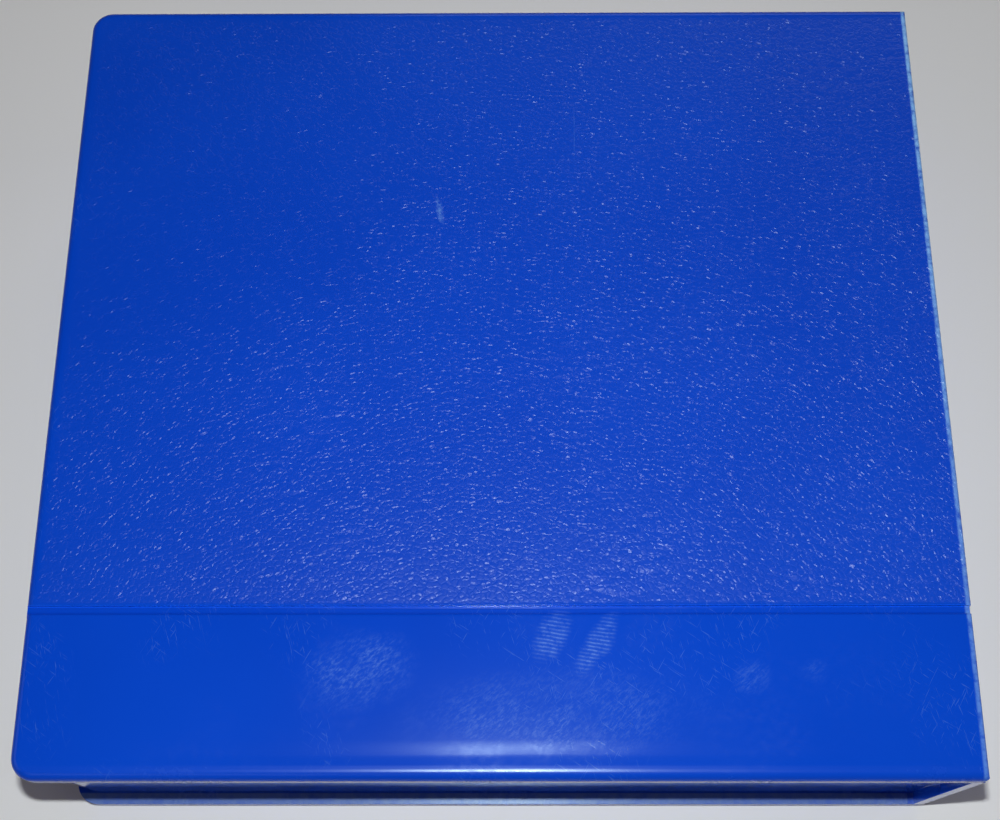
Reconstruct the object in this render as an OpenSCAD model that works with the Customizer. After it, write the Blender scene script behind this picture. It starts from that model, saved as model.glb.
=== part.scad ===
// Carrying case for a two-player fleet guessing game.
// The closed case lies on its base plate. The spine and its hinges are at +X, the opening edge at -X.
// The origin is the centre of the base plate's outer face.

/* [Case] */
// Width from the opening edge to the spine
case_w = 254; // [235:1:300]
// Depth from front to rear
case_d = 235; // [222:1:290]
// Height of the closed case
case_h = 72; // [62:1:96]
// Radius of the two corners at the opening edge, seen from above
corner_r = 6.35; // [4:0.05:12]
// Radius of the two corners at the spine, seen from above
spine_corner_r = 1; // [0.5:0.1:2.5]

/* [Plates] */
// Thickness of the top and bottom plates
plate_t = 2.5; // [1.6:0.1:4]
// Height of the solid rim around each plate
rim_h = 6; // [4.5:0.1:9]
// How far each plate stands out over the front and rear walls
overhang = 3.5; // [1:0.1:8]
// Rounding of the plate's edge
edge_r = 2.3; // [1:0.1:3.5]
// Rounding of the plate's edge along the spine
spine_edge_r = 1; // [0.5:0.1:2]
// Depth of the smooth band at the front of the plate
band_d = 43.6; // [20:0.1:80]
// Width of the groove behind the band
groove_w = 2.2; // [1:0.1:5]
// Depth of the groove
groove_deep = 0.9; // [0.3:0.1:1.5]
// How deep the groove cuts into the plate's sides
groove_notch = 0.3; // [0.1:0.05:1]
// How far the grained field stands above the band
field_lift = 0.35; // [0.1:0.05:0.8]
// Width of the pads where the spine meets the plates' overhang
heel_w = 1.8; // [1:0.1:4]
// Height of these pads
heel_h = 0.4; // [0.2:0.1:1]

/* [Walls] */
// Thickness of the front, rear and opening-edge walls
wall_t = 2.5; // [2:0.1:4]
// Thickness of the spine wall
spine_t = 3; // [3:0.1:5]
// Gap between the closed halves
part_gap = 0.3; // [0.2:0.05:0.6]
// Thickness of the locating tongue on the base walls
tongue_t = 1; // [0.8:0.1:1.4]
// Height of the locating tongue
tongue_h = 2; // [1:0.1:3]
// Clearance around the tongue
tongue_fit = 0.3; // [0.2:0.05:0.5]
// Width of the thumb recess
thumb_w = 36; // [20:1:60]
// Height of the thumb recess
thumb_h = 7; // [5:0.5:12]
// Depth of the thumb recess
thumb_deep = 1.2; // [0.6:0.1:1.4]

/* [Hinges] */
// Distance from each end of the spine to the middle of its hinge
hinge_inset = 42.5; // [32:0.5:70]
// Radius of the knuckles
knuckle_r = 3; // [2.6:0.1:3.4]
// Distance of the hinge axis behind the spine
axis_out = 1; // [0.8:0.1:1.5]
// Length of the lid's knuckle
lid_knuckle_l = 14; // [8:0.5:24]
// Length of each of the base's knuckles
base_knuckle_l = 9; // [6:0.5:16]
// Gap around and between the knuckles
knuckle_gap = 0.4; // [0.3:0.05:0.6]
// Radius of the hinge pins
pin_r = 1.25; // [1:0.05:1.5]
// Radial clearance of the pins in the knuckles
pin_fit = 0.05; // [0.02:0.01:0.09]
// How deep the pin's ends lie inside the outer knuckles
pin_recess = 0.5; // [0.2:0.1:2]
// Angle at which the lid leans on the stop lugs
open_angle = 100; // [92:1:110]
// Width of each stop lug
stop_w = 7; // [4:0.5:12]
// How far the stop lugs reach past the hinge axis
stop_reach = 4.5; // [3:0.1:7]
// Gap between the stop lugs and the lid at its open angle
stop_gap = 0.3; // [0.1:0.05:0.5]
// Depth of the stop lugs below the hinge axis
stop_drop = 7.5; // [5:0.5:12]

/* [Peg holes] */
// Distance between peg holes
hole_pitch = 17; // [14:0.1:18]
// Number of peg holes along each side of a grid
cells = 10; // [8:1:10]
// Radius of a peg hole
hole_r = 1.5; // [1.2:0.05:2]
// Radial clearance of a pin in a peg hole
peg_fit = 0.08; // [0.03:0.01:0.1]
// Width of the lines engraved between the cells of a grid
line_w = 0.7; // [0.4:0.1:1.2]
// Depth of these lines
line_deep = 0.4; // [0.2:0.05:0.6]
// Width of a coordinate strip
strip_w = 10; // [7:0.5:11]
// Thickness of a coordinate strip
strip_t = 0.4; // [0.2:0.05:0.8]
// Margin between a coordinate strip and the grid
strip_gap = 1; // [0.5:0.1:1.2]

/* [Inserts] */
// Depth of the ocean grid below the parting plane
deck_drop = 12; // [10:0.5:14]
// Height of the target grid above the parting plane
target_rise = 12.5; // [11.5:0.5:15]
// Thickness of the perforated panels
panel_t = 2; // [1.5:0.1:3]
// Thickness of the inserts' walls and floors
insert_t = 1.6; // [1.2:0.1:2.4]
// Gap between an insert and what stands beside it
seat_gap = 0.3; // [0.2:0.05:0.5]
// Depth of the peg wells
well_deep = 15; // [10:0.5:20]
// Gap between the closed peg cover and the peg tray
cover_gap = 0.9; // [0.6:0.1:1.5]
// Share of the peg tray's length that the white pegs' well takes
white_share = 0.64; // [0.5:0.01:0.7]
// Height of the rib between the ship tray's two lanes
lane_rib_h = 6; // [3:0.5:10]
// Width of the catches that hold the inserts down
catch_w = 8; // [4:0.5:12]
// How far a catch reaches over the edge of an insert
catch_bite = 0.5; // [0.2:0.05:0.8]
// Gap under a catch
catch_gap = 0.1; // [0.05:0.05:0.3]

/* [Ships and pegs] */
// Width of a ship's hull
ship_beam = 9.6; // [8:0.1:12]
// How far a ship ends short of the cells that it covers
ship_end_gap = 1.5; // [0.5:0.1:3]
// Height of a ship's hull
hull_h = 5; // [4:0.1:6]
// Height of the peg seats above the hull
seat_h = 3; // [2:0.1:4]
// Length of a ship's pins
pin_l = 6; // [4:0.1:6.5]
// Gap under a plugged ship
ship_gap = 0.3; // [0.2:0.05:0.4]
// Radius of a peg's head
head_r = 2.3; // [1.8:0.05:2.4]
// Height of the straight collar under a peg's head
collar_h = 1; // [0.5:0.1:1.5]
// Length of a peg's shank
shank_l = 8; // [6:0.1:9]
// Gap between a peg's head and what it lies or hangs on
peg_gap = 0.05; // [0.02:0.01:0.2]
// Gap between pegs lying side by side
peg_spacing = 0.4; // [0.2:0.1:1]
// Number of white pegs in their well
white_count = 84; // [12:1:84]
// Number of red pegs in their well
red_count = 42; // [6:1:42]

/* [Ship details] */
// How far the carrier's flight deck stands out over its hull
flight_out = 1.7; // [0:0.1:2]
// Thickness of the flight deck
flight_t = 1.6; // [1:0.1:2]
// Width of the carrier's island
island_w = 2.5; // [2:0.1:3]
// Height of the island above the hull
island_h = 4.6; // [3:0.1:5]
// Height of the bridge on the island
bridge_h = 6.4; // [5:0.1:7]
// Radius of the funnels
funnel_r = 1.5; // [0.8:0.1:1.8]
// Height of the funnels above the hull
funnel_h = 6; // [4:0.1:7]
// Radius of the masts
mast_r = 0.7; // [0.4:0.1:0.9]
// Height of the masts above the hull
mast_h = 8.2; // [6:0.1:8.5]
// Radius of a gun barrel
gun_r = 0.45; // [0.3:0.05:0.6]
// Distance between a turret's two gun barrels
gun_gap = 1.8; // [1.2:0.1:2.4]
// How far the gun barrels reach beyond their turret
gun_out = 3; // [1:0.5:4]

/* [Hidden] */
$fn = 48;
// Overshoot of every cutting solid
cut = 1;

// Outer and inner faces of the case
spine_x = case_w / 2;
fore_x = -case_w / 2;
rear_y = case_d / 2;
front_y = -case_d / 2;
wall_rear_y = rear_y - overhang;
wall_front_y = front_y + overhang;
in_spine_x = spine_x - spine_t;
in_fore_x = fore_x + wall_t;
in_rear_y = wall_rear_y - wall_t;
in_front_y = wall_front_y + wall_t;
split_z = case_h / 2;
half_h = split_z - part_gap / 2;
band_edge_y = front_y + band_d;
hinge_y = case_d / 2 - hinge_inset;

// Heights of the inserts
deck_z = split_z - deck_drop;
target_z = split_z + target_rise;
tray_rim_z = split_z - cover_gap / 2;
cover_z = split_z + cover_gap / 2;
well_floor_z = tray_rim_z - well_deep;
lid_in_z = case_h - plate_t;

// Places of the grids, seen from above: rows step along -X and columns along -Y
grid_w = cells * hole_pitch;
label_w = strip_w + 2 * strip_gap;
rack_rear_y = in_rear_y - seat_gap;
grid_rear_y = rack_rear_y - label_w;
rack_front_y = grid_rear_y - grid_w;
divide_y = rack_front_y - seat_gap;
ocean_x = in_spine_x - seat_gap - label_w;
ocean_end_x = ocean_x - grid_w;
tray_spine_x = ocean_end_x - seat_gap;
target_x = in_fore_x + seat_gap + label_w;
target_end_x = target_x + grid_w;
// Near edges and undersides of the strips
ocean_numbers_x = ocean_x + strip_gap;
ocean_letters_x = ocean_end_x + strip_gap;
target_numbers_x = target_x - strip_gap - strip_w;
target_strip_z = target_z - strip_t;

// Hinge
axis_x = spine_x + axis_out;
hinge_l = lid_knuckle_l + 2 * (knuckle_gap + base_knuckle_l);
base_knuckle_y = (lid_knuckle_l + base_knuckle_l) / 2 + knuckle_gap;
stop_y = hinge_y - hinge_l / 2 - knuckle_gap - stop_w / 2;
bore_r = pin_r + pin_fit;
relief_r = knuckle_r + knuckle_gap;

// Ships and pegs
shank_r = hole_r - peg_fit;
head_h = collar_h + head_r;
hull_z = deck_z + ship_gap;
ship_hole_deep = hull_h;
// Fleet tally in the target grid: holes for each ship
fleet = [5, 4, 3, 3, 2];
// Row and column of the pegs left in the target grid
misses = [[0, 2], [1, 7], [2, 4], [4, 8], [5, 1], [6, 6], [8, 3], [9, 8], [3, 0]];
hits = [[4, 4], [4, 5], [4, 6], [7, 1]];

// ---- Plan shapes ----

// Rectangle whose two corners at the opening edge are rounded
module plan(x0, x1, y0, y1, r) {
  translate([x0 + r, y0])
    square([x1 - x0 - r, y1 - y0]);
  translate([x0, y0 + r])
    square([x1 - x0, y1 - y0 - 2 * r]);
  for (y = [y0 + r, y1 - r])
    translate([x0 + r, y])
      circle(r);
}

// Inside of the walls, grown by g all round except at the spine
module inner_plan(g) {
  plan(in_fore_x - g, in_spine_x + min(g, 0), in_front_y - g, in_rear_y + g, corner_r - wall_t + g);
}

// The part of the inside between two planes each way, set in from the walls and planes by inset
module zone(x0, x1, y0, y1, inset) {
  intersection() {
    inner_plan(-seat_gap - inset);
    translate([x0 + inset, y0 + inset])
      square([x1 - x0 - 2 * inset, y1 - y0 - 2 * inset]);
  }
}

// A zone drawn up between two heights
module zone_block(x0, x1, y0, y1, inset, z0, z1) {
  translate([0, 0, z0])
    linear_extrude(z1 - z0)
      zone(x0, x1, y0, y1, inset);
}

// ---- Shells ----

// Corner waste outside a quarter round
module round_waste(r) {
  difference() {
    square(r + cut);
    circle(r);
  }
}

// One end of a plate: it runs from y = 0 to its rounded end at y = reach, with its face at z = top
module plate_end(reach, top) {
  centre_x = fore_x + corner_r;
  centre_y = reach - corner_r;
  difference() {
    translate([0, 0, -rim_h])
      linear_extrude(rim_h + top) {
        translate([fore_x, 0])
          square([case_w - spine_corner_r, centre_y]);
        translate([centre_x, 0])
          square([case_w - corner_r - spine_corner_r, reach]);
        translate([spine_x - 2 * spine_corner_r, 0])
          square([2 * spine_corner_r, reach - spine_corner_r]);
        translate([centre_x, centre_y])
          circle(corner_r);
        translate([spine_x - spine_corner_r, reach - spine_corner_r])
          circle(spine_corner_r);
      }
    // Far edge
    translate([centre_x, reach - edge_r, top - edge_r])
      rotate([90, 0, 90])
        linear_extrude(case_w)
          round_waste(edge_r);
    // Opening edge
    translate([fore_x + edge_r, centre_y, top - edge_r])
      rotate([90, 0, 0])
        linear_extrude(reach)
          mirror([1, 0])
            round_waste(edge_r);
    // Corner between them
    translate([centre_x, centre_y, 0])
      rotate([0, 0, 90])
        rotate_extrude(angle = 90)
          translate([corner_r - edge_r, top - edge_r])
            round_waste(edge_r);
    // Spine edge
    translate([spine_x - spine_edge_r, reach + cut, top - spine_edge_r])
      rotate([90, 0, 0])
        linear_extrude(reach + 2 * cut)
          round_waste(spine_edge_r);
  }
}

// Whole plate, outer face up at z = 0, the band lying lower than the field by lift
module plate(lift) {
  groove_back_y = band_edge_y + groove_w;
  translate([0, groove_back_y, 0])
    plate_end(rear_y - groove_back_y, 0);
  translate([0, band_edge_y, 0])
    mirror([0, 1, 0])
      plate_end(band_d, -lift);
  translate([fore_x + groove_notch, band_edge_y - cut, -rim_h])
    cube([case_w - 2 * groove_notch, groove_w + 2 * cut, rim_h - lift - groove_deep]);
}

// Plate with its walls, opening downwards
module half_shell(lift) {
  difference() {
    union() {
      plate(lift);
      translate([0, 0, -half_h])
        linear_extrude(half_h - rim_h + cut) {
          plan(fore_x, spine_x, wall_front_y, wall_rear_y, corner_r);
          translate([in_spine_x, front_y])
            square([spine_t, case_d]);
        }
      // Pads at both ends of the spine, under the overhang
      translate([in_spine_x - heel_w, front_y, -rim_h - heel_h])
        cube([heel_w + spine_t / 2, case_d, heel_h + cut]);
    }
    translate([0, 0, -half_h - cut])
      linear_extrude(half_h + cut - plate_t)
        inner_plan(0);
  }
}

// Cylinder along the hinge axis, centred on y
module along_axis(y, r, l) {
  translate([axis_x, y, split_z])
    rotate([90, 0, 0])
      cylinder(r = r, h = l, center = true);
}

module lid_shell() {
  color("#0E42BE")
    difference() {
      union() {
        difference() {
          translate([0, 0, case_h])
            half_shell(field_lift);
          // Room for the base's knuckles
          for (side = [-1, 1], end = [-1, 1])
            along_axis(side * hinge_y + end * base_knuckle_y, relief_r, base_knuckle_l + 2 * knuckle_gap);
        }
        for (side = [-1, 1])
          along_axis(side * hinge_y, knuckle_r, lid_knuckle_l);
      }
      for (side = [-1, 1])
        along_axis(side * hinge_y, bore_r, hinge_l);
      // Rebate for the base's tongue
      translate([0, 0, split_z - cut])
        intersection() {
          linear_extrude(cut + part_gap / 2 + tongue_h + tongue_fit)
            inner_plan(tongue_t + tongue_fit);
          translate([fore_x, front_y, 0])
            cube([case_w - spine_t - tongue_h, case_d, case_h]);
        }
    }
}

// Lug that the opened lid leans on, as an outline around the hinge axis
module stop_outline() {
  lean = open_angle - 90;
  far_x = axis_out * sin(lean) + stop_reach;
  function rest_z(x) = axis_out / cos(lean) - x * tan(lean) - stop_gap;
  polygon([
    [-axis_out - spine_t / 2, -part_gap],
    [-axis_out, -part_gap],
    [0.45 * axis_out, 0.45 * axis_out],
    [axis_out, rest_z(axis_out)],
    [far_x, rest_z(far_x)],
    [far_x, rest_z(far_x) - 1],
    [-axis_out, -stop_drop],
    [-axis_out - spine_t / 2, -stop_drop]
  ]);
}

// Ramped catch on a wall that holds an insert's edge down, pointing along +Y
module catch(x, y, z, turn) {
  bite = seat_gap + catch_bite;
  translate([x, y, z])
    rotate([0, 0, turn])
      rotate([90, 0, 90])
        linear_extrude(catch_w, center = true)
          polygon([[-wall_t / 2, 0], [bite, 0], [0, 2 * bite], [-wall_t / 2, 2 * bite]]);
}

module base_catches() {
  z = deck_z + catch_gap;
  for (x = [ocean_end_x + grid_w / 4, ocean_end_x + 3 * grid_w / 4, (in_fore_x + tray_spine_x) / 2])
    catch(x, in_rear_y, z, 180);
  for (y = [rack_front_y + grid_w / 4, rack_front_y + 3 * grid_w / 4])
    catch(in_fore_x, y, z, -90);
}

module base_shell() {
  color("#0D3FB8")
    difference() {
      union() {
        difference() {
          mirror([0, 0, 1])
            half_shell(0);
          // Room for the lid's knuckles
          for (side = [-1, 1])
            along_axis(side * hinge_y, relief_r, lid_knuckle_l + 2 * knuckle_gap);
        }
        for (side = [-1, 1], end = [-1, 1])
          along_axis(side * hinge_y + end * base_knuckle_y, knuckle_r, base_knuckle_l);
        for (side = [-1, 1])
          translate([axis_x, side * stop_y + stop_w / 2, split_z])
            rotate([90, 0, 0])
              linear_extrude(stop_w)
                stop_outline();
        // Tongue, up to just short of the spine
        translate([0, 0, half_h - cut])
          intersection() {
            linear_extrude(cut + tongue_h)
              difference() {
                inner_plan(tongue_t);
                inner_plan(0);
              }
            translate([fore_x, front_y, 0])
              cube([case_w - spine_t - 2 * tongue_h, case_d, case_h]);
          }
        base_catches();
      }
      for (side = [-1, 1])
        along_axis(side * hinge_y, bore_r, hinge_l + knuckle_gap);
      // Thumb recess under the lid's edge
      translate([fore_x - cut, -thumb_w / 2, half_h - thumb_h])
        cube([cut + thumb_deep, thumb_w, thumb_h + cut]);
    }
}

module hinge_pin(side) {
  color("silver")
    along_axis(side * hinge_y, pin_r, hinge_l - 2 * pin_recess);
}

// ---- Grids ----

function row_x(start, step, row) = start + step * hole_pitch * (row + 0.5);
function column_y(column) = grid_rear_y - hole_pitch * (column + 0.5);

// Peg-hole cutters of one square grid
module grid_holes(start, step, z) {
  for (row = [0:cells - 1], column = [0:cells - 1])
    translate([row_x(start, step, row), column_y(column), z - cut])
      cylinder(r = hole_r, h = panel_t + 2 * cut);
}

// Line cutters between the cells, centred on the panel's face at height z
module grid_lines(start, step, z) {
  middle_x = start + step * grid_w / 2;
  middle_y = grid_rear_y - grid_w / 2;
  for (i = [0:cells]) {
    across = (i - cells / 2) * hole_pitch;
    translate([middle_x + across, middle_y, z])
      cube([line_w, grid_w + line_w, 2 * line_deep], center = true);
    translate([middle_x, middle_y + across, z])
      cube([grid_w + line_w, line_w, 2 * line_deep], center = true);
  }
}

module ocean_grid() {
  color("#1C56C8")
    difference() {
      zone_block(ocean_end_x, spine_x, rack_front_y, rear_y, 0, plate_t, deck_z);
      zone_block(ocean_end_x, in_spine_x - seat_gap, rack_front_y, rack_rear_y, insert_t,
                 plate_t - cut, deck_z - panel_t);
      grid_holes(ocean_x, -1, deck_z - panel_t);
      grid_lines(ocean_x, -1, deck_z);
    }
}

module target_grid() {
  tally_x = target_end_x + (in_spine_x - target_end_x) / 2;
  tally_pitch = (in_spine_x - target_end_x) / 6;
  color("#1C56C8")
    difference() {
      zone_block(fore_x, spine_x, rack_front_y, rear_y, 0, target_z, lid_in_z);
      zone_block(fore_x, in_spine_x - seat_gap, rack_front_y, rack_rear_y, insert_t,
                 target_z + panel_t, lid_in_z + cut);
      grid_holes(target_x, 1, target_z);
      grid_lines(target_x, 1, target_z);
      // Fleet tally: one line of holes for each ship
      for (ship = [0:len(fleet) - 1], hole = [0:fleet[ship] - 1])
        translate([tally_x + (hole - 2) * tally_pitch, column_y(2 * ship + 0.5), target_z - cut])
          cylinder(r = hole_r, h = panel_t + 2 * cut);
    }
}

// Strip along the numbered side of a grid, whose near edge is at x
module number_strip(x, z) {
  color("#E8EAEE")
    translate([x, rack_front_y + strip_gap, z])
      cube([strip_w, grid_w - strip_gap, strip_t]);
}

// Strip along the lettered side of a grid, from x on
module letter_strip(x, z) {
  color("#E8EAEE")
    translate([x, grid_rear_y + strip_gap, z])
      cube([grid_w - strip_gap, strip_w, strip_t]);
}

// ---- Trays ----

module ship_tray() {
  color("#123F9E")
    difference() {
      zone_block(fore_x, tray_spine_x, rack_front_y, rear_y, 0, plate_t, deck_z);
      difference() {
        zone_block(in_fore_x + seat_gap, tray_spine_x, rack_front_y, rack_rear_y, insert_t,
                   plate_t + insert_t, deck_z + cut);
        translate([(in_fore_x + tray_spine_x - insert_t) / 2, front_y, 0])
          cube([insert_t, case_d, plate_t + insert_t + lane_rib_h]);
      }
    }
}

tray_len = case_w - wall_t - spine_t - 2 * seat_gap;
peg_wall_x = in_fore_x + seat_gap + white_share * tray_len;

// The two peg wells, grown by g
module peg_wells(z0, z1) {
  front = in_front_y + seat_gap;
  zone_block(in_fore_x + seat_gap, peg_wall_x + insert_t / 2, front, divide_y, insert_t, z0, z1);
  zone_block(peg_wall_x - insert_t / 2, in_spine_x - seat_gap, front, divide_y, insert_t, z0, z1);
}

module peg_tray() {
  color("#123F9E")
    difference() {
      zone_block(fore_x, spine_x, front_y, divide_y, 0, plate_t, tray_rim_z);
      peg_wells(well_floor_z, tray_rim_z + cut);
      peg_wells(plate_t - cut, well_floor_z - insert_t);
    }
}

module peg_cover() {
  color("#123F9E")
    difference() {
      zone_block(fore_x, spine_x, front_y, divide_y, 0, cover_z, lid_in_z);
      zone_block(in_fore_x + seat_gap, in_spine_x - seat_gap, in_front_y + seat_gap, divide_y, insert_t,
                 cover_z + panel_t, lid_in_z + cut);
    }
}

// ---- Pegs ----

// Peg standing on its head's underside, shank down
module peg() {
  rotate_extrude() {
    translate([0, -shank_l])
      square([shank_r, shank_l + collar_h]);
    square([head_r, collar_h]);
    intersection() {
      translate([0, collar_h])
        circle(head_r);
      square([head_r, head_h]);
    }
  }
}

// One layer of pegs lying in rows on a well's floor, heads towards the rear
module peg_layer(x0, x1, most) {
  step = 2 * head_r + peg_spacing;
  row_step = head_h + shank_l + peg_spacing;
  well_front = in_front_y + seat_gap + insert_t + peg_spacing;
  across = floor((x1 - x0 - peg_spacing) / step);
  deep = floor((divide_y - insert_t - well_front) / row_step);
  tilt = asin((head_r - shank_r) / shank_l);
  for (row = [0:deep - 1], i = [0:across - 1])
    if (row * across + i < most)
      translate([x0 + peg_spacing + step * (i + 0.5), well_front + row * row_step + head_h,
                 well_floor_z + head_r + peg_gap])
        rotate([90 + tilt, 0, 0])
          peg();
}

module white_pegs() {
  color("#F2F1EC")
    peg_layer(in_fore_x + seat_gap + insert_t, peg_wall_x - insert_t / 2, white_count);
}

module red_pegs() {
  color("#C8201E")
    peg_layer(peg_wall_x + insert_t / 2, in_spine_x - seat_gap - insert_t, red_count);
}

// Pegs plugged into the target grid from below
module target_pegs(places) {
  for (place = places)
    translate([row_x(target_x, 1, place[0]), column_y(place[1]), target_z - peg_gap])
      mirror([0, 0, 1])
        peg();
}

module target_white_pegs() {
  color("#F2F1EC")
    target_pegs(misses);
}

module target_red_pegs() {
  color("#C8201E")
    target_pegs(hits);
}

// ---- Ships ----

// A ship drawn along X about its own middle is put on the ocean grid, from a first to a last row and column
module plugged(first, last) {
  x0 = row_x(ocean_x, -1, first[0]);
  x1 = row_x(ocean_x, -1, last[0]);
  y0 = column_y(first[1]);
  y1 = column_y(last[1]);
  translate([(x0 + x1) / 2, (y0 + y1) / 2, hull_z])
    rotate([0, 0, first[0] == last[0] ? 90 : 0])
      children();
}

function hole_x(i, n) = (i - (n - 1) / 2) * hole_pitch;
function ship_half_l(n) = n * hole_pitch / 2 - ship_end_gap;

// Pins under the first and last holes of a ship with n holes
module pins(n) {
  for (i = [0, n - 1])
    translate([hole_x(i, n), 0, -pin_l])
      cylinder(r = shank_r, h = pin_l + cut);
}

// Peg seats: round towers, as tall as a turret
module seats(n) {
  for (i = [0:n - 1])
    translate([hole_x(i, n), 0, hull_h - cut])
      cylinder(r = ship_beam / 3, h = seat_h + cut);
}

// Peg holes of a ship, cut from the given height above its keel down
module ship_holes(n, top) {
  for (i = [0:n - 1])
    translate([hole_x(i, n), 0, top - ship_hole_deep])
      cylinder(r = hole_r, h = ship_hole_deep + cut);
}

// Hull outline with a curved bow and a tapered stern
function bow_points(half_l, half_b, bow) =
  [for (i = [0:8]) let (t = i / 8) [half_l - bow * t, half_b * sqrt(1 - pow(1 - t, 2))]];
function stern_points(half_l, half_b, taper) =
  [[-half_l + taper, half_b], [-half_l + taper / 4, 0.8 * half_b], [-half_l, 0.5 * half_b]];

module ship_hull(n, beam) {
  half_l = ship_half_l(n);
  side = concat(bow_points(half_l, beam / 2, 1.3 * beam), stern_points(half_l, beam / 2, beam / 2));
  other_side = [for (i = [len(side) - 1:-1:1]) [side[i][0], -side[i][1]]];
  linear_extrude(hull_h)
    polygon(concat(side, other_side));
}

// Gun barrels pointing along X from a turret
module guns(x, way) {
  for (side = [-1, 1])
    translate([x, side * gun_gap / 2, hull_h + 0.63 * seat_h])
      rotate([0, 90 * way, 0])
        cylinder(r = gun_r, h = ship_beam / 3 + gun_out);
}

// Block of deck housing, centred on x and y
module housing(x, y, l, w, h) {
  translate([x - l / 2, y - w / 2, hull_h - cut])
    cube([l, w, h + cut]);
}

// Upright cylinder on the deck, for a funnel or a mast
module post(x, y, r, h) {
  translate([x, y, hull_h - cut])
    cylinder(r = r, h = h + cut);
}

module aircraft_carrier() {
  n = 5;
  half_l = ship_half_l(n);
  half_w = ship_beam / 2 + flight_out;
  island_l = 0.36 * half_l;
  island_x = 0.23 * half_l;
  island_y = half_w - 0.65 * island_w;
  // Flight deck, wider along the slanted landing stretch and beside the island
  outline = [
    [-half_l, -0.72 * half_w],
    [-0.85 * half_l, -half_w],
    [0.3 * half_l, -half_w],
    [0.55 * half_l, -0.72 * half_w],
    [0.95 * half_l, -0.45 * half_w],
    [0.95 * half_l, 0.5 * half_w],
    [0.7 * half_l, 0.72 * half_w],
    [0.6 * half_l, half_w],
    [-0.4 * half_l, half_w],
    [-0.5 * half_l, 0.72 * half_w],
    [-half_l, 0.72 * half_w]
  ];
  color("#8C9198")
    plugged([1, 1], [1, 5])
      difference() {
        union() {
          ship_hull(n, ship_beam);
          translate([0, 0, hull_h])
            linear_extrude(flight_t)
              polygon(outline);
          housing(island_x, island_y, island_l, island_w, island_h);
          housing(island_x, island_y, island_l / 2, 0.76 * island_w, bridge_h);
          post(island_x - island_l / 12, island_y, 0.9 * mast_r, mast_h);
          post(island_x + 0.37 * island_l, island_y, funnel_r / 2, 0.9 * funnel_h);
          pins(n);
        }
        ship_holes(n, hull_h + flight_t);
      }
}

module dreadnought() {
  n = 4;
  bridge_x = hole_pitch / 2.2;
  color("#868B92")
    plugged([4, 8], [7, 8])
      difference() {
        union() {
          ship_hull(n, ship_beam);
          seats(n);
          guns(hole_x(0, n), -1);
          guns(hole_x(n - 1, n), 1);
          housing(0, 0, 1.75 * hole_pitch, ship_beam / 2, 0.65 * seat_h);
          housing(bridge_x, 0, 0.26 * hole_pitch, ship_beam / 2.6, 0.86 * bridge_h);
          post(0, 0, 1.1 * funnel_r, funnel_h);
          post(-hole_pitch / 2.4, 0, funnel_r, 0.9 * funnel_h);
          post(bridge_x, 0, mast_r, mast_h);
          pins(n);
        }
        ship_holes(n, hull_h + seat_h);
      }
}

module cruiser() {
  n = 3;
  color("#8A8F96")
    plugged([8, 5], [8, 7])
      difference() {
        union() {
          ship_hull(n, 0.9 * ship_beam);
          seats(n);
          guns(hole_x(n - 1, n), 1);
          housing(-hole_pitch / 2, 0, hole_pitch / 2, ship_beam / 2.4, 0.85 * seat_h);
          housing(hole_pitch / 2, 0, hole_pitch / 3, ship_beam / 2.4, 0.7 * bridge_h);
          post(-hole_pitch / 2, 0, funnel_r, 0.95 * funnel_h);
          post(hole_pitch / 2, 0, mast_r, 0.95 * mast_h);
          pins(n);
        }
        ship_holes(n, hull_h + seat_h);
      }
}

module patrol_boat() {
  n = 2;
  cabin_l = hole_pitch / 2.2;
  color("#8E939A")
    plugged([6, 1], [6, 2])
      difference() {
        union() {
          ship_hull(n, 0.85 * ship_beam);
          seats(n);
          housing(0, 0, cabin_l, ship_beam / 2.4, seat_h);
          post(-0.18 * cabin_l, 0, 0.8 * funnel_r, 0.8 * funnel_h);
          post(0.23 * cabin_l, 0, mast_r, 0.8 * mast_h);
          pins(n);
        }
        ship_holes(n, hull_h + seat_h);
      }
}

module submarine() {
  n = 3;
  half_l = ship_half_l(n);
  body_r = 0.4 * ship_beam;
  keel_cut = 0.26 * body_r;
  tower_x = hole_pitch / 2;
  // The hull is turned from a spindle, and its underside is cut flat
  spindle = [
    for (i = [0:16]) let (t = i / 16)
      [body_r * pow(sin(180 * t), 0.45), half_l * (2 * t - 1)]
  ];
  color("#82878E")
    plugged([5, 4], [3, 4])
      difference() {
        union() {
          intersection() {
            translate([0, 0, body_r - keel_cut])
              rotate([0, 90, 0])
                rotate_extrude()
                  polygon(concat(spindle, [[0, half_l], [0, -half_l]]));
            translate([-half_l - cut, -ship_beam, 0])
              cube([2 * half_l + 2 * cut, 2 * ship_beam, 3 * body_r]);
          }
          seats(n);
          housing(tower_x, 0, hole_pitch / 2.6, ship_beam / 3, 0.8 * bridge_h);
          post(tower_x + 0.06 * hole_pitch, 0, 0.9 * mast_r, 0.97 * mast_h);
          pins(n);
        }
        ship_holes(n, hull_h + seat_h);
      }
}

lid_shell();
base_shell();
hinge_pin(-1);  // hinge_pin_front
hinge_pin(1);  // hinge_pin_rear
ocean_grid();
number_strip(ocean_numbers_x, deck_z);  // ocean_number_strip
letter_strip(ocean_letters_x, deck_z);  // ocean_letter_strip
ship_tray();
peg_tray();
white_pegs();
red_pegs();
aircraft_carrier();
dreadnought();
cruiser();
submarine();
patrol_boat();
target_grid();
number_strip(target_numbers_x, target_strip_z);  // target_number_strip
letter_strip(target_x, target_strip_z);  // target_letter_strip
peg_cover();
target_white_pegs();
target_red_pegs();
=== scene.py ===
"""Looks of the fleet guessing case: moulded plastics, leather grain, coordinate marks, camera and light.

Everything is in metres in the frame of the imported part: +X towards the spine, +Y to the rear, +Z up.
"""

import math

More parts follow.
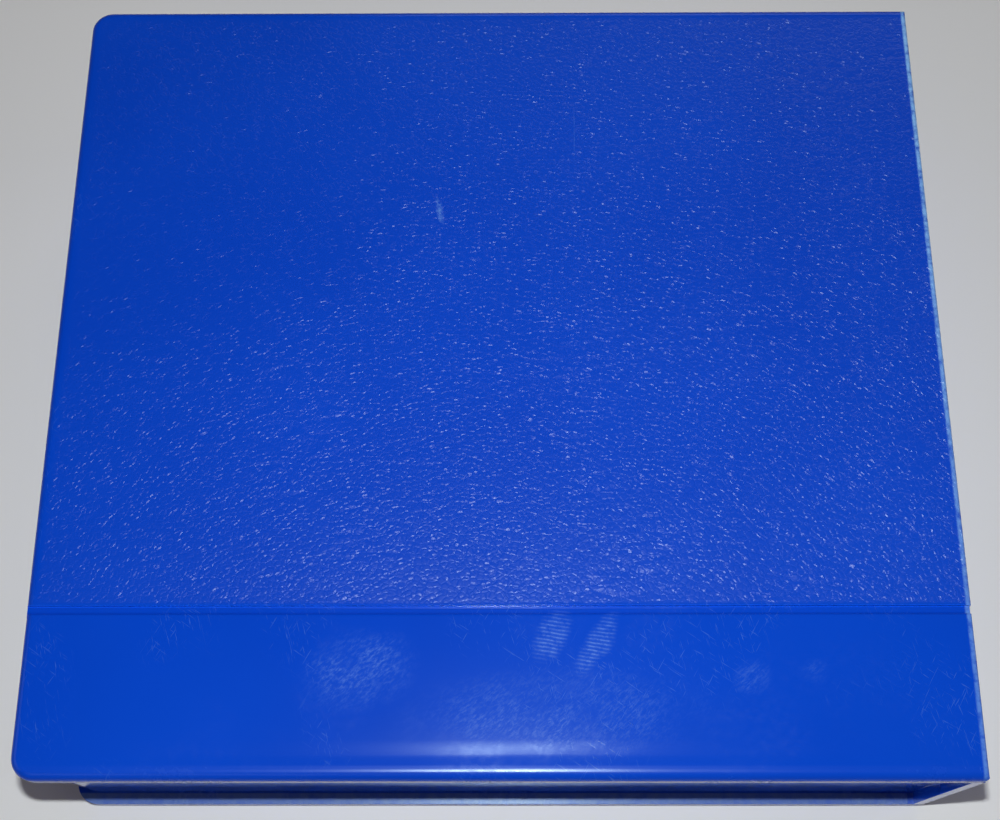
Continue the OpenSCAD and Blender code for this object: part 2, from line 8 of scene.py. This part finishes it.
import bmesh
import bpy
from mathutils import Matrix, Vector


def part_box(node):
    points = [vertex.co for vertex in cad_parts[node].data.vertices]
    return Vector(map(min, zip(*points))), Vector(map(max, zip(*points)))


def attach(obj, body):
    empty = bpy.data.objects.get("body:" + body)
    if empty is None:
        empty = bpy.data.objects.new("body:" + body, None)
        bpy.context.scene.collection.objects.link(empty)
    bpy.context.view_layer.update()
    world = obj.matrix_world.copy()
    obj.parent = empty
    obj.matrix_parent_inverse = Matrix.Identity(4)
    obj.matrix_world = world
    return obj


MM = 0.001

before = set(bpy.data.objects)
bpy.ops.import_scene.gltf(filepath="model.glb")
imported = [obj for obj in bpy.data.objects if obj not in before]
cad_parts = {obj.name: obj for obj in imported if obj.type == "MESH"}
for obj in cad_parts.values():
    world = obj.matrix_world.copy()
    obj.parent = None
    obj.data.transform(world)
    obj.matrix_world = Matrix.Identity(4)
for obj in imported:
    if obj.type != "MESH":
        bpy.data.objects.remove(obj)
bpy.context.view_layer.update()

# ---- Places read from the frame ----

LID_LOW, LID_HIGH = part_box("lid_shell")
FORE_X, FRONT_Y, REAR_Y = LID_LOW[0], LID_LOW[1], LID_HIGH[1]
SPINE_X = -FORE_X
TOP_Z = LID_HIGH[2]

# The band, the groove behind it, the rim and the edge rounding, as the part has them
BAND_DEPTH = 43.6 * MM
GROOVE_WIDTH = 2.2 * MM
FIELD_Y = FRONT_Y + BAND_DEPTH + GROOVE_WIDTH
EDGE_ROUND = 2.3 * MM
RIM_HEIGHT = 6.0 * MM
OVERHANG = 3.5 * MM

# The grids: distance between peg holes, holes along a side
PITCH = 17.0 * MM
CELLS = 10

# ---- Camera ----

CAMERA_AT = (3.2 * MM, -157.7 * MM, 458.4 * MM)
CAMERA_TILT = math.radians(20.16)
CAMERA_TURN = math.radians(1.05)
CAMERA_ROLL = math.radians(-1.08)
LENS_MM = 52.65


def make_camera():
    data = bpy.data.cameras.new("camera")
    data.sensor_width = 36.0
    data.sensor_fit = "HORIZONTAL"
    data.lens = LENS_MM
    data.clip_start = 0.01
    camera = bpy.data.objects.new("camera", data)
    turn = Matrix.Rotation(CAMERA_TURN, 4, "Z")
    tilt = Matrix.Rotation(CAMERA_TILT, 4, "X")
    roll = Matrix.Rotation(CAMERA_ROLL, 4, "Z")
    camera.matrix_world = Matrix.Translation(CAMERA_AT) @ turn @ tilt @ roll
    bpy.context.collection.objects.link(camera)
    bpy.context.scene.camera = camera


# ---- Shader building ----


class Shader:
    """A node material. Its methods make the nodes and return the socket that carries their result."""

    def __init__(self, name):
        self.material = bpy.data.materials.new(name)
        self.material.use_nodes = True
        self.tree = self.material.node_tree
        self.surface = self.tree.nodes["Principled BSDF"]
        self.coords = self.add("ShaderNodeTexCoord").outputs["Object"]

    def add(self, kind, **settings):
        node = self.tree.nodes.new(kind)
        for key, value in settings.items():
            setattr(node, key, value)
        return node

    def put(self, socket, value):
        if isinstance(value, bpy.types.NodeSocket):
            self.tree.links.new(value, socket)
        else:
            socket.default_value = value

    def set(self, **values):
        for key, value in values.items():
            self.put(self.surface.inputs[key.replace("_", " ")], value)

    def math(self, operation, a, b=0.0):
        node = self.add("ShaderNodeMath", operation=operation)
        self.put(node.inputs[0], a)
        self.put(node.inputs[1], b)
        return node.outputs[0]

    def sum(self, first, *rest):
        for other in rest:
            first = self.math("ADD", first, other)
        return first

    def product(self, first, *rest):
        for other in rest:
            first = self.math("MULTIPLY", first, other)
        return first

    def most(self, first, *rest):
        for other in rest:
            first = self.math("MAXIMUM", first, other)
        return first

    def ramp(self, value, low, high, out_low=0.0, out_high=1.0):
        """Smooth step from out_low to out_high while the value goes from low to high."""
        node = self.add("ShaderNodeMapRange", interpolation_type="SMOOTHSTEP")
        self.put(node.inputs["Value"], value)
        for key, number in (("From Min", low), ("From Max", high), ("To Min", out_low), ("To Max", out_high)):
            node.inputs[key].default_value = number
        return node.outputs["Result"]

    def slope(self, value, low, high, out_low=0.0, out_high=1.0):
        """Straight step from out_low to out_high while the value goes from low to high."""
        result = self.ramp(value, low, high, out_low, out_high)
        result.node.interpolation_type = "LINEAR"
        return result

    def stretched(self, factors, turn=0.0, vector=None):
        """The coordinates turned about Z, then multiplied by the factors."""
        turned = self.add("ShaderNodeVectorRotate", rotation_type="Z_AXIS")
        self.put(turned.inputs["Vector"], vector or self.coords)
        turned.inputs["Angle"].default_value = turn
        scaled = self.add("ShaderNodeVectorMath", operation="MULTIPLY")
        self.put(scaled.inputs[0], turned.outputs["Vector"])
        scaled.inputs[1].default_value = factors
        return scaled.outputs["Vector"]

    def noise(self, scale, detail=2.0, roughness=0.5, vector=None):
        node = self.add("ShaderNodeTexNoise")
        self.put(node.inputs["Vector"], vector or self.coords)
        node.inputs["Scale"].default_value = scale
        node.inputs["Detail"].default_value = detail
        node.inputs["Roughness"].default_value = roughness
        return node.outputs["Fac"]

    def cracks(self, scale, width, vector=None):
        """1 along the borders of irregular cells, 0 inside them; the width is a share of a cell."""
        node = self.add("ShaderNodeTexVoronoi", feature="DISTANCE_TO_EDGE")
        self.put(node.inputs["Vector"], vector or self.coords)
        node.inputs["Scale"].default_value = scale
        return self.slope(node.outputs["Distance"], 0.0, width, 1.0, 0.0)

    def warp(self, amount, scale, vector=None):
        """The coordinates pushed about by a noise, for edges that wander."""
        noise = self.add("ShaderNodeTexNoise")
        self.put(noise.inputs["Vector"], vector or self.coords)
        noise.inputs["Scale"].default_value = scale
        push = self.add("ShaderNodeVectorMath", operation="MULTIPLY_ADD")
        self.put(push.inputs[0], noise.outputs["Color"])
        push.inputs[1].default_value = (amount, amount, amount)
        self.put(push.inputs[2], vector or self.coords)
        return push.outputs[0]

    def axis(self, index, vector=None):
        node = self.add("ShaderNodeSeparateXYZ")
        self.put(node.inputs[0], vector or self.coords)
        return node.outputs[index]

    def patch(self, centre, half, turn=0.0, soft=0.5, vector=None):
        """1 inside an ellipse of the plan, falling to 0 at its rim."""
        place = self.add("ShaderNodeMapping", vector_type="TEXTURE")
        self.put(place.inputs["Vector"], vector or self.coords)
        place.inputs["Location"].default_value = (centre[0], centre[1], 0.0)
        place.inputs["Rotation"].default_value = (0.0, 0.0, turn)
        place.inputs["Scale"].default_value = (half[0], half[1], 1000.0)
        far = self.add("ShaderNodeVectorMath", operation="LENGTH")
        self.put(far.inputs[0], place.outputs["Vector"])
        return self.ramp(far.outputs["Value"], 1.0 - soft, 1.0, 1.0, 0.0)

    def streaks(self, scale, turn, low, high, stretch=20.0, vector=None):
        """Thin hair scratches lying across the turn."""
        along = self.stretched((1.0, stretch, 1.0), turn, vector)
        return self.ramp(self.noise(scale, 1.0, 0.7, along), low, high)

    def mix(self, factor, a, b):
        node = self.add("ShaderNodeMix", data_type="RGBA")
        self.put(node.inputs["Factor"], factor)
        self.put(node.inputs[6], a)
        self.put(node.inputs[7], b)
        return node.outputs[2]

    def bump(self, height, distance, below=None):
        """Normal of a surface raised by height times distance, on top of another normal."""
        node = self.add("ShaderNodeBump")
        self.put(node.inputs["Height"], height)
        node.inputs["Distance"].default_value = distance
        if below is not None:
            self.put(node.inputs["Normal"], below)
        return node.outputs["Normal"]

    def soft_edges(self, radius):
        """Normal that rounds the edges a little."""
        node = self.add("ShaderNodeBevel", samples=4)
        node.inputs["Radius"].default_value = radius
        return node.outputs["Normal"]


def linear(red, green, blue):
    """A display colour from 0 to 255 as a linear shader colour."""
    def one(c):
        c /= 255.0
        return c / 12.92 if c <= 0.04045 else ((c + 0.055) / 1.055) ** 2.4
    return (one(red), one(green), one(blue), 1.0)


# ---- Case plastic ----

CASE_DEEP = (3, 62, 184)
CASE_PALE = (7, 68, 193)
# Paler worn plastic, and painted glints on scratches, finger ridges and rubbed patches
CASE_WORN_AND_GLINT = (150, 200, 250)
# Painted shadow in the front corner of the lid's groove
CASE_GROOVE_SHADE = (1, 50, 165)
# Painted highlight on the rear corner of the lid's groove
CASE_LIT_EDGE = (12, 84, 224)
DUST = (112, 132, 178)
# The leather grain: pebbles and wrinkles along a metre, the share of each that slopes, the wrinkles' depth
# beside the pebbles', the grain's depth and mean height, and its depth at the opening edge and at the spine
PEBBLES_PER_M = 680.0
WRINKLES_PER_M = 200.0
FLANK = 0.22
WRINKLE_DEPTH = 1.3
GRAIN_DEPTH = 0.17 * MM
GRAIN_MEAN = -0.3
GRAIN_AT_OPENING, GRAIN_AT_SPINE = 0.62, 1.2
# How much of the grain the coloured plastic shows below its glossy coat, and the coat's weight across the lid
PLASTIC_RELIEF = 0.14
COAT_AT_OPENING, COAT_AT_SPINE = 0.3, 0.55
COAT_ROUGH = 0.31
COAT_IOR = 1.43

# Roughness of the polished plastic, and what haze, grain, walls and the lid's rim add to it
POLISHED = 0.155
HAZE_ROUGH, FIELD_ROUGH, WALL_ROUGH, RIM_ROUGH = 0.14, 0.085, -0.065, 0.085
CASE_SPECULAR = 0.32
CASE_SPECULAR_TINT = (0.8, 0.95, 1.0, 1.0)
# The plate's slow swells, the depth of hair scratches and the softness of the edges
SWELL_DEPTH = 0.05 * MM
SCRATCH_DEPTH = 0.003 * MM
EDGE_SOFTNESS = 0.25 * MM
# How far each kind of wear goes towards the worn colour, which is partly worn plastic and partly painted
# glint
WORN_GLINT_RIDGES, WORN_GLINT_RUBBED, WORN_SCUFF, WORN_GLINT_SCRATCHES = 0.15, 0.15, 0.3, 0.09

# Wear on the lid, in the plan, where the worn colour is partly painted glint: finger ridges, rubbed patches,
# a scuff and a long scratch, each with its middle, its half sizes and its turn
RIDGE_PITCH = 1.02 * MM
RIDGES = (((16.0 * MM, -78.3 * MM), (5.4 * MM, 8.6 * MM), -0.42),
          ((28.2 * MM, -80.6 * MM), (3.8 * MM, 11.5 * MM), -0.55))
RUBBED = (((-35.0 * MM, -87.5 * MM), (18.5 * MM, 12.5 * MM), 0.2),
          ((68.5 * MM, -89.5 * MM), (6.5 * MM, 5.5 * MM), 0.4))
CLOUDED = (((18.0 * MM, -99.0 * MM), (52.0 * MM, 15.0 * MM), 0.05),
           ((85.0 * MM, -88.0 * MM), (5.0 * MM, 4.5 * MM), 0.0))
SCUFF = ((-16.3 * MM, 48.0 * MM), (1.3 * MM, 5.6 * MM), 0.18)
LONG_SCRATCH = ((23.2 * MM, 74.0 * MM), (0.22 * MM, 13.0 * MM), 0.0)
# The band's form, from front to rear: a lip rises to the edge from a shallow valley, behind which the
# plate swells to a low crest and falls back to flat. Its edge at the groove is rounded, and a cove leads
# from the groove up to the field
VALLEY_Y = FRONT_Y + 6.2 * MM
CREST_Y = FRONT_Y + 10.8 * MM
FLAT_Y = FRONT_Y + 25.0 * MM
GROOVE_Y = FIELD_Y - GROOVE_WIDTH
LIP_RISE = 0.15 * MM
LIP_FALL = 0.082 * MM
CREST_RISE = 0.075 * MM
COVE_RISE = 0.04 * MM


def field_and_wall(s, face_z, up):
    """1 on the plate's grained field, and 1 on the walls between the plate's rim and the parting line."""
    x, y, z = s.axis(0), s.axis(1), s.axis(2)
    behind_groove = s.ramp(y, FIELD_Y + 0.2 * MM, FIELD_Y + 1.2 * MM)
    off_rear = s.ramp(y, REAR_Y - 2.0 * EDGE_ROUND, REAR_Y - 0.8 * EDGE_ROUND, 1.0, 0.0)
    off_fore = s.ramp(x, FORE_X + 0.8 * EDGE_ROUND, FORE_X + 2.0 * EDGE_ROUND)
    height = s.product(s.math("SUBTRACT", z, face_z), up)
    on_face = s.ramp(height, -1.2 * MM, -0.5 * MM)
    wall = s.ramp(height, -RIM_HEIGHT - 0.6 * MM, -RIM_HEIGHT - 0.2 * MM, 1.0, 0.0)
    return s.product(behind_groove, off_rear, off_fore, on_face), wall


def band_form(s):
    """Height of the lid's band: lip rolled over at the edge, valley, crest and the long fall behind it."""
    y = s.axis(1)
    rear_edge = s.ramp(y, GROOVE_Y - 0.7 * MM, GROOVE_Y + 0.1 * MM, 0.0, -COVE_RISE)
    cove = s.ramp(y, FIELD_Y - 0.75 * MM, FIELD_Y - 0.1 * MM, 0.0, COVE_RISE)
    y = s.axis(1, s.warp(0.8 * MM, 14.0))
    lip = s.ramp(y, FRONT_Y + EDGE_ROUND, VALLEY_Y + 0.8 * MM, LIP_RISE, 0.0)
    roll_over = s.ramp(y, FRONT_Y + 1.85 * MM, FRONT_Y + 3.4 * MM, -LIP_FALL, 0.0)
    crest = s.ramp(y, VALLEY_Y, CREST_Y, 0.0, CREST_RISE)
    fall = s.ramp(y, CREST_Y, FLAT_Y, 0.0, -CREST_RISE)
    return s.sum(lip, roll_over, crest, fall, rear_edge, cove)


def leather_grain(s):
    """Height of moulded leather: small pebbles with sloping flanks, and longer wrinkles in some places."""
    wandering = s.warp(0.5 * MM, 700.0)
    pebbles = s.product(s.cracks(PEBBLES_PER_M, FLANK, wandering),
                        s.ramp(s.noise(420.0, 1.0), 0.36, 0.64, 0.35, 1.25))
    flowing = s.stretched((0.4, 1.0, 1.0), -0.12, s.warp(9.0 * MM, 24.0, wandering))
    wrinkled = s.ramp(s.noise(34.0, 2.0), 0.48, 0.62)
    wrinkles = s.product(s.cracks(WRINKLES_PER_M, FLANK, flowing), wrinkled, WRINKLE_DEPTH)
    deeper = s.product(s.slope(s.axis(0), FORE_X, SPINE_X, GRAIN_AT_OPENING, GRAIN_AT_SPINE),
                       s.ramp(s.noise(12.0, 1.0), 0.3, 0.7, 0.75, 1.2))
    return s.product(s.sum(pebbles, wrinkles), deeper, -1.0)


def hair_scratches(s):
    """1 along hair scratches that cross in three directions, in some places only."""
    crossing = s.most(s.streaks(190.0, 0.6, 0.66, 0.75, 14.0), s.streaks(160.0, 2.1, 0.68, 0.76, 14.0),
                      s.streaks(230.0, 1.3, 0.66, 0.75, 14.0))
    return s.product(crossing, s.ramp(s.noise(26.0, 2.0), 0.48, 0.62))


def lid_wear_and_glint(s):
    """Rubbed haze of the lid, and its worn colour with painted glints: finger ridges, rubbed patches, scuff,
    scratch, spine edge.
    """
    wandering = s.warp(3.0 * MM, 160.0)
    across = s.axis(1, s.stretched((1.0, 1.0, 1.0), 0.15, s.warp(1.4 * MM, 90.0)))
    lines = s.ramp(s.math("SINE", s.product(across, math.tau / RIDGE_PITCH)), -0.5, 1.0, 0.25, 1.0)
    lines = s.product(lines, s.ramp(s.noise(420.0, 3.0, 0.7), 0.3, 0.62, 0.2, 1.0))
    ridges = s.product(lines, s.most(*[s.patch(*place, 0.55, wandering) for place in RIDGES]))
    strokes = s.ramp(s.noise(620.0, 3.0, 0.7, s.stretched((1.0, 2.4, 1.0), -0.7)), 0.4, 0.74, 0.1, 1.0)
    cloudy = s.ramp(s.noise(70.0, 3.0, 0.7), 0.3, 0.65, 0.3, 1.0)
    clouded = s.most(*[s.patch(*place, 0.75, wandering) for place in CLOUDED])
    rubbed = s.most(*[s.patch(*place, 0.75, wandering) for place in RUBBED], s.product(clouded, 0.5))
    rubbed = s.product(strokes, cloudy, rubbed)
    long_scratch = s.patch(*LONG_SCRATCH, 0.9, s.warp(0.5 * MM, 60.0))
    scuff = s.most(s.patch(*SCUFF, 0.9, s.warp(2.0 * MM, 420.0)), s.product(long_scratch, 0.4))
    scuff = s.product(scuff, s.ramp(s.noise(800.0, 3.0, 0.7), 0.3, 0.62))
    # A pale stripe painted along the spine's top edge, paler towards the rear
    spine_edge = s.product(s.ramp(s.axis(0), SPINE_X - 1.9 * MM, SPINE_X - 1.2 * MM),
                           s.ramp(s.axis(2), TOP_Z - EDGE_ROUND - 0.3 * MM, TOP_Z - EDGE_ROUND),
                           s.ramp(s.axis(1), FRONT_Y, REAR_Y, 0.3, 0.85),
                           s.ramp(s.noise(420.0, 3.0, 0.6), 0.2, 0.6))
    haze = s.most(ridges, rubbed)
    # Worn colour, partly painted glints on the ridges, rubbed patches and scratch marks
    worn = s.most(s.product(ridges, WORN_GLINT_RIDGES), s.product(rubbed, WORN_GLINT_RUBBED),
                  s.product(scuff, WORN_SCUFF), spine_edge)
    return haze, worn


def case_plastic(name, face_z, up, is_lid):
    """Glossy moulded blue plastic: leather grain on the field, hair scratches, rubbed patches, dust; glints
    painted in the worn colour, painted shade and highlight at the lid's groove.
    """
    s = Shader(name)
    field, wall = field_and_wall(s, face_z, up)
    smooth = s.math("SUBTRACT", 1.0, field)
    scratches = hair_scratches(s)
    grain = s.product(s.math("SUBTRACT", leather_grain(s), GRAIN_MEAN), field, GRAIN_DEPTH)
    height = s.sum(s.product(s.noise(38.0, 1.0), SWELL_DEPTH), s.product(scratches, smooth, -SCRATCH_DEPTH))
    haze = s.product(s.ramp(s.noise(30.0, 3.0, 0.6, s.warp(9.0 * MM, 25.0)), 0.46, 0.7),
                     s.ramp(s.noise(420.0, 3.0, 0.7), 0.3, 0.75), smooth, 0.6)
    # Hair scratches whitened by wear, with their glints painted on as paler colour
    worn = s.product(scratches, smooth, WORN_GLINT_SCRATCHES)
    colour = s.mix(s.ramp(s.noise(8.0, 3.0), 0.3, 0.7), linear(*CASE_DEEP), linear(*CASE_PALE))
    if is_lid:
        # Painted shadow along the front corner of the groove, and a painted highlight along its rear corner
        y = s.axis(1)
        # Painted shadow: a darker blue where the groove's front wall would shade it
        groove_shade = s.product(s.ramp(y, GROOVE_Y - 0.5 * MM, GROOVE_Y - 0.1 * MM),
                         s.ramp(y, GROOVE_Y + 0.3 * MM, GROOVE_Y + 0.8 * MM, 0.55, 0.0))
        colour = s.mix(groove_shade, colour, linear(*CASE_GROOVE_SHADE))
        # Painted highlight: paler blue on the groove's rear wall, where the field begins
        lit_groove_edge = s.product(s.ramp(y, FIELD_Y - 0.35 * MM, FIELD_Y - 0.1 * MM),
                                s.ramp(y, FIELD_Y + 0.05 * MM, FIELD_Y + 0.3 * MM, 1.0, 0.0))
        colour = s.mix(lit_groove_edge, colour, linear(*CASE_LIT_EDGE))
        height = s.sum(height, band_form(s))
        lid_haze, lid_worn_and_glint = lid_wear_and_glint(s)
        haze = s.most(haze, lid_haze)
        worn = s.most(worn, lid_worn_and_glint)
    else:
        # Dust on the ledge that the base plate forms outside the walls
        y = s.math("ABSOLUTE", s.axis(1))
        on_ledge = s.product(s.ramp(y, REAR_Y - OVERHANG, REAR_Y - OVERHANG + 0.6 * MM),
                             s.ramp(s.axis(2), RIM_HEIGHT - 0.6 * MM, RIM_HEIGHT - 0.2 * MM),
                             s.ramp(s.axis(2), RIM_HEIGHT + 0.2 * MM, RIM_HEIGHT + 0.6 * MM, 1.0, 0.0))
        dust = s.product(on_ledge, s.ramp(s.noise(300.0, 4.0, 0.7), 0.2, 0.7, 0.45, 0.85))
        colour = s.mix(dust, colour, linear(*DUST))
    # The lid's edges have the duller moulding of the rim; the band and the walls are polished
    rim = s.ramp(s.axis(1), FRONT_Y + 3.4 * MM, FRONT_Y + 4.2 * MM, 1.0, 0.0)
    rim = s.product(rim, s.math("SUBTRACT", 1.0, wall))
    rough = s.sum(POLISHED, s.product(haze, HAZE_ROUGH), s.product(field, FIELD_ROUGH),
                  s.product(wall, WALL_ROUGH), s.product(rim, RIM_ROUGH))
    even = s.bump(height, 1.0, s.soft_edges(EDGE_SOFTNESS))
    # The grain shows in the glossy skin more than in the plastic below it. The skin is glossier towards the
    # spine, where the photograph's glints stay as bright as near the glare
    glossier = s.slope(s.axis(0), FORE_X, SPINE_X, COAT_AT_OPENING, COAT_AT_SPINE)
    # The worn colour is partly whitened plastic and partly painted glint
    s.set(Base_Color=s.mix(worn, colour, linear(*CASE_WORN_AND_GLINT)), Roughness=rough,
          Normal=s.bump(s.product(grain, PLASTIC_RELIEF), 1.0, even), Specular_IOR_Level=CASE_SPECULAR,
          Specular_Tint=CASE_SPECULAR_TINT, Coat_Weight=s.product(field, glossier),
          Coat_Roughness=COAT_ROUGH, Coat_IOR=COAT_IOR, Coat_Normal=s.bump(grain, 1.0, even))
    return s.material


# ---- The other materials ----


SATIN_GRAINS_PER_M = 900.0
SATIN_DEPTH = 0.012 * MM
SATIN_SOFTNESS = 0.15 * MM
HAIR_PALER = 70


def satin_plastic(name, display, spread=10, rough=0.34):
    """Moulded plastic with a fine sparked texture, duller where rubbed, with a slight change of tone."""
    s = Shader(name)
    tone = s.ramp(s.noise(30.0, 3.0), 0.3, 0.7)
    light = linear(*[min(255, c + spread) for c in display])
    rubbed = s.ramp(s.noise(160.0, 4.0, 0.7), 0.45, 0.7)
    hairs = s.product(s.most(s.streaks(110.0, 0.5, 0.68, 0.75), s.streaks(120.0, 1.9, 0.68, 0.75)), 0.18)
    colour = s.mix(tone, linear(*display), light)
    colour = s.mix(hairs, colour, linear(*[min(255, c + HAIR_PALER) for c in display]))
    s.set(Base_Color=colour, Roughness=s.sum(rough, s.product(rubbed, 0.12)),
          Normal=s.bump(s.noise(SATIN_GRAINS_PER_M, 2.0, 0.6), SATIN_DEPTH, s.soft_edges(SATIN_SOFTNESS)),
          Specular_IOR_Level=0.45)
    return s.material


def pin_steel():
    """Drawn wire: fine streaks along the pin."""
    s = Shader("pin_steel")
    drawn = s.noise(400.0, 3.0, 0.6, s.stretched((8.0, 0.4, 8.0)))
    s.set(Base_Color=s.mix(drawn, linear(150, 150, 154), linear(196, 196, 200)), Metallic=1.0,
          Roughness=s.ramp(drawn, 0.2, 0.8, 0.22, 0.42))
    return s.material


def ink():
    """Printed marks: flat dark blue, a little worn."""
    s = Shader("ink")
    worn = s.ramp(s.noise(900.0, 3.0, 0.7), 0.58, 0.7)
    s.set(Base_Color=s.mix(s.product(worn, 0.5), linear(18, 34, 84), linear(150, 160, 190)), Roughness=0.5)
    return s.material


def floor_material():
    s = Shader("floor")
    s.set(Base_Color=s.mix(s.noise(3.0, 2.0), linear(240, 230, 226), linear(246, 237, 234)), Roughness=0.75,
          Normal=s.bump(s.noise(700.0, 2.0), 0.02 * MM), Specular_IOR_Level=0.2)
    return s.material


def dress(nodes, material):
    for node in nodes:
        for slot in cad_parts[node].material_slots:
            slot.material = material


# ---- Coordinate marks ----

MARK_SIZE = 7.0 * MM
MARK_RISE = 0.04 * MM
# Where the marks' right, up and outward directions point, on the ocean grid and on the target grid
OCEAN_WAY = Matrix(((0.0, 1.0, 0.0), (-1.0, 0.0, 0.0), (0.0, 0.0, 1.0)))
TARGET_WAY = Matrix(((0.0, -1.0, 0.0), (-1.0, 0.0, 0.0), (0.0, 0.0, -1.0)))


def glyph_mesh(word):
    """Mesh of a word, centred on its middle, facing +Z."""
    curve = bpy.data.curves.new("glyph", "FONT")
    curve.body = word
    curve.size = MARK_SIZE
    curve.align_x = "CENTER"
    curve.extrude = MARK_RISE
    curve.resolution_u = 4
    letter = bpy.data.objects.new("glyph", curve)
    bpy.context.collection.objects.link(letter)
    bpy.context.view_layer.update()
    mesh = bpy.data.meshes.new_from_object(letter.evaluated_get(bpy.context.evaluated_depsgraph_get()))
    bpy.data.objects.remove(letter)
    middle = 0.5 * (min(v.co.y for v in mesh.vertices) + max(v.co.y for v in mesh.vertices))
    mesh.transform(Matrix.Translation((0.0, -middle, 0.0)))
    return mesh


def add_marks(name, words, places, way, body, material):
    """One piece with a word printed at each place."""
    shape = bmesh.new()
    for word, place in zip(words, places):
        mesh = glyph_mesh(word)
        mesh.transform(Matrix.Translation(place) @ way.to_4x4())
        shape.from_mesh(mesh)
        bpy.data.meshes.remove(mesh)
    mesh = bpy.data.meshes.new(name)
    shape.to_mesh(mesh)
    shape.free()
    mesh.materials.append(material)
    piece = bpy.data.objects.new(name, mesh)
    bpy.context.collection.objects.link(piece)
    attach(piece, body)


def add_grid_marks():
    numbers = [str(i + 1) for i in range(CELLS)]
    letters = [chr(ord("A") + i) for i in range(CELLS)]
    steps = [PITCH * (i + 0.5) for i in range(CELLS)]
    printed = ink()
    for grid, body, way, face in (("ocean", "base", OCEAN_WAY, 1), ("target", "lid", TARGET_WAY, 0)):
        number_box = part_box(grid + "_number_strip")
        letter_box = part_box(grid + "_letter_strip")
        z = number_box[face][2]
        x = 0.5 * (number_box[0][0] + number_box[1][0])
        y = 0.5 * (letter_box[0][1] + letter_box[1][1])
        across = [(x, number_box[1][1] - step, z) for step in steps]
        if grid == "ocean":
            down = [(letter_box[1][0] - step, y, z) for step in steps]
        else:
            down = [(letter_box[0][0] + step, y, z) for step in steps]
        add_marks(grid + "_numbers", numbers, across, way, body, printed)
        add_marks(grid + "_letters", letters, down, way, body, printed)


# ---- Stage ----


FLOOR_SIZE = 6.0
FLOOR_DROP = 0.05 * MM


def make_floor():
    bpy.ops.mesh.primitive_plane_add(size=FLOOR_SIZE, location=(0.0, 0.0, -FLOOR_DROP))
    floor = bpy.context.object
    floor.name = "floor"
    floor.data.materials.append(floor_material())


def area_light(name, at, aim, size, power, colour):
    data = bpy.data.lights.new(name, "AREA")
    data.shape = "RECTANGLE"
    data.size, data.size_y = size
    data.energy = power
    data.color = colour
    lamp = bpy.data.objects.new(name, data)
    lamp.location = at
    lamp.rotation_euler = (Vector(aim) - Vector(at)).to_track_quat("-Z", "Y").to_euler()
    bpy.context.collection.objects.link(lamp)


# The surround's colours, each at its height as a share of the way up
HORIZON = (0.05, (0.11, 0.11, 0.115, 1.0))
OVERHEAD = (0.6, (0.02, 0.02, 0.022, 1.0))


def make_world():
    """Studio surround: pale near the horizon, dim overhead."""
    world = bpy.data.worlds.new("studio")
    bpy.context.scene.world = world
    world.use_nodes = True
    tree = world.node_tree
    direction = tree.nodes.new("ShaderNodeTexCoord")
    split = tree.nodes.new("ShaderNodeSeparateXYZ")
    tree.links.new(direction.outputs["Generated"], split.inputs[0])
    ramp = tree.nodes.new("ShaderNodeValToRGB")
    tree.links.new(split.outputs[2], ramp.inputs[0])
    for element, (position, colour) in zip(ramp.color_ramp.elements, (HORIZON, OVERHEAD)):
        element.position = position
        element.color = colour
    tree.links.new(ramp.outputs[0], tree.nodes["Background"].inputs[0])


# The key light stands close to the camera, a little above and behind the lens
KEY_FROM_CAMERA = (-4.8 * MM, 30.9 * MM, 38.8 * MM)
KEY_AT = tuple(a + b for a, b in zip(CAMERA_AT, KEY_FROM_CAMERA))
FLOOR_MIDDLE = (0.0, 0.0, 0.0)
WHITE = (1.0, 1.0, 1.0)
# Name, place, what it is aimed at, size in metres, power in watts, colour
LIGHTS = (
    ("key", KEY_AT, (0.0, 0.0, TOP_Z), (0.014, 0.007), 1.82, (0.85, 0.96, 1.0)),
    ("left_soft", (-1.1, -0.2, 0.75), FLOOR_MIDDLE, (0.7, 0.7), 0.8, WHITE),
    ("right_soft", (1.1, -0.1, 0.75), FLOOR_MIDDLE, (0.7, 0.7), 1.6, (0.85, 0.95, 1.0)),
    ("front_soft", (-0.35, -0.75, 0.95), (-0.05, -0.1, 0.0), (0.6, 0.2), 0.3, WHITE),
    ("rear_soft", (0.3, 1.2, 0.8), FLOOR_MIDDLE, (0.9, 0.6), 2.0, WHITE),
)


# ---- Making ----

make_camera()
make_world()
make_floor()
for light in LIGHTS:
    area_light(*light)

dress(["lid_shell"], case_plastic("lid_plastic", TOP_Z, 1.0, True))
dress(["base_shell"], case_plastic("base_plastic", 0.0, -1.0, False))
dress(["ocean_grid", "target_grid"], satin_plastic("panel_plastic", (16, 78, 190)))
dress(["ship_tray", "peg_tray", "peg_cover"], satin_plastic("tray_plastic", (12, 54, 150), rough=0.42))
dress([grid + part for grid in ("ocean", "target") for part in ("_number_strip", "_letter_strip")],
      satin_plastic("strip_plastic", (226, 228, 230), spread=6, rough=0.5))
dress(["aircraft_carrier", "dreadnought", "cruiser", "submarine", "patrol_boat"],
      satin_plastic("ship_plastic", (122, 127, 134), rough=0.38))
dress(["white_pegs", "target_white_pegs"],
      satin_plastic("white_plastic", (236, 234, 226), spread=6, rough=0.26))
dress(["red_pegs", "target_red_pegs"],
      satin_plastic("red_plastic", (196, 22, 20), rough=0.26))
dress(["hinge_pin_front", "hinge_pin_rear"], pin_steel())
add_grid_marks()

bpy.context.scene.view_settings.view_transform = "Standard"
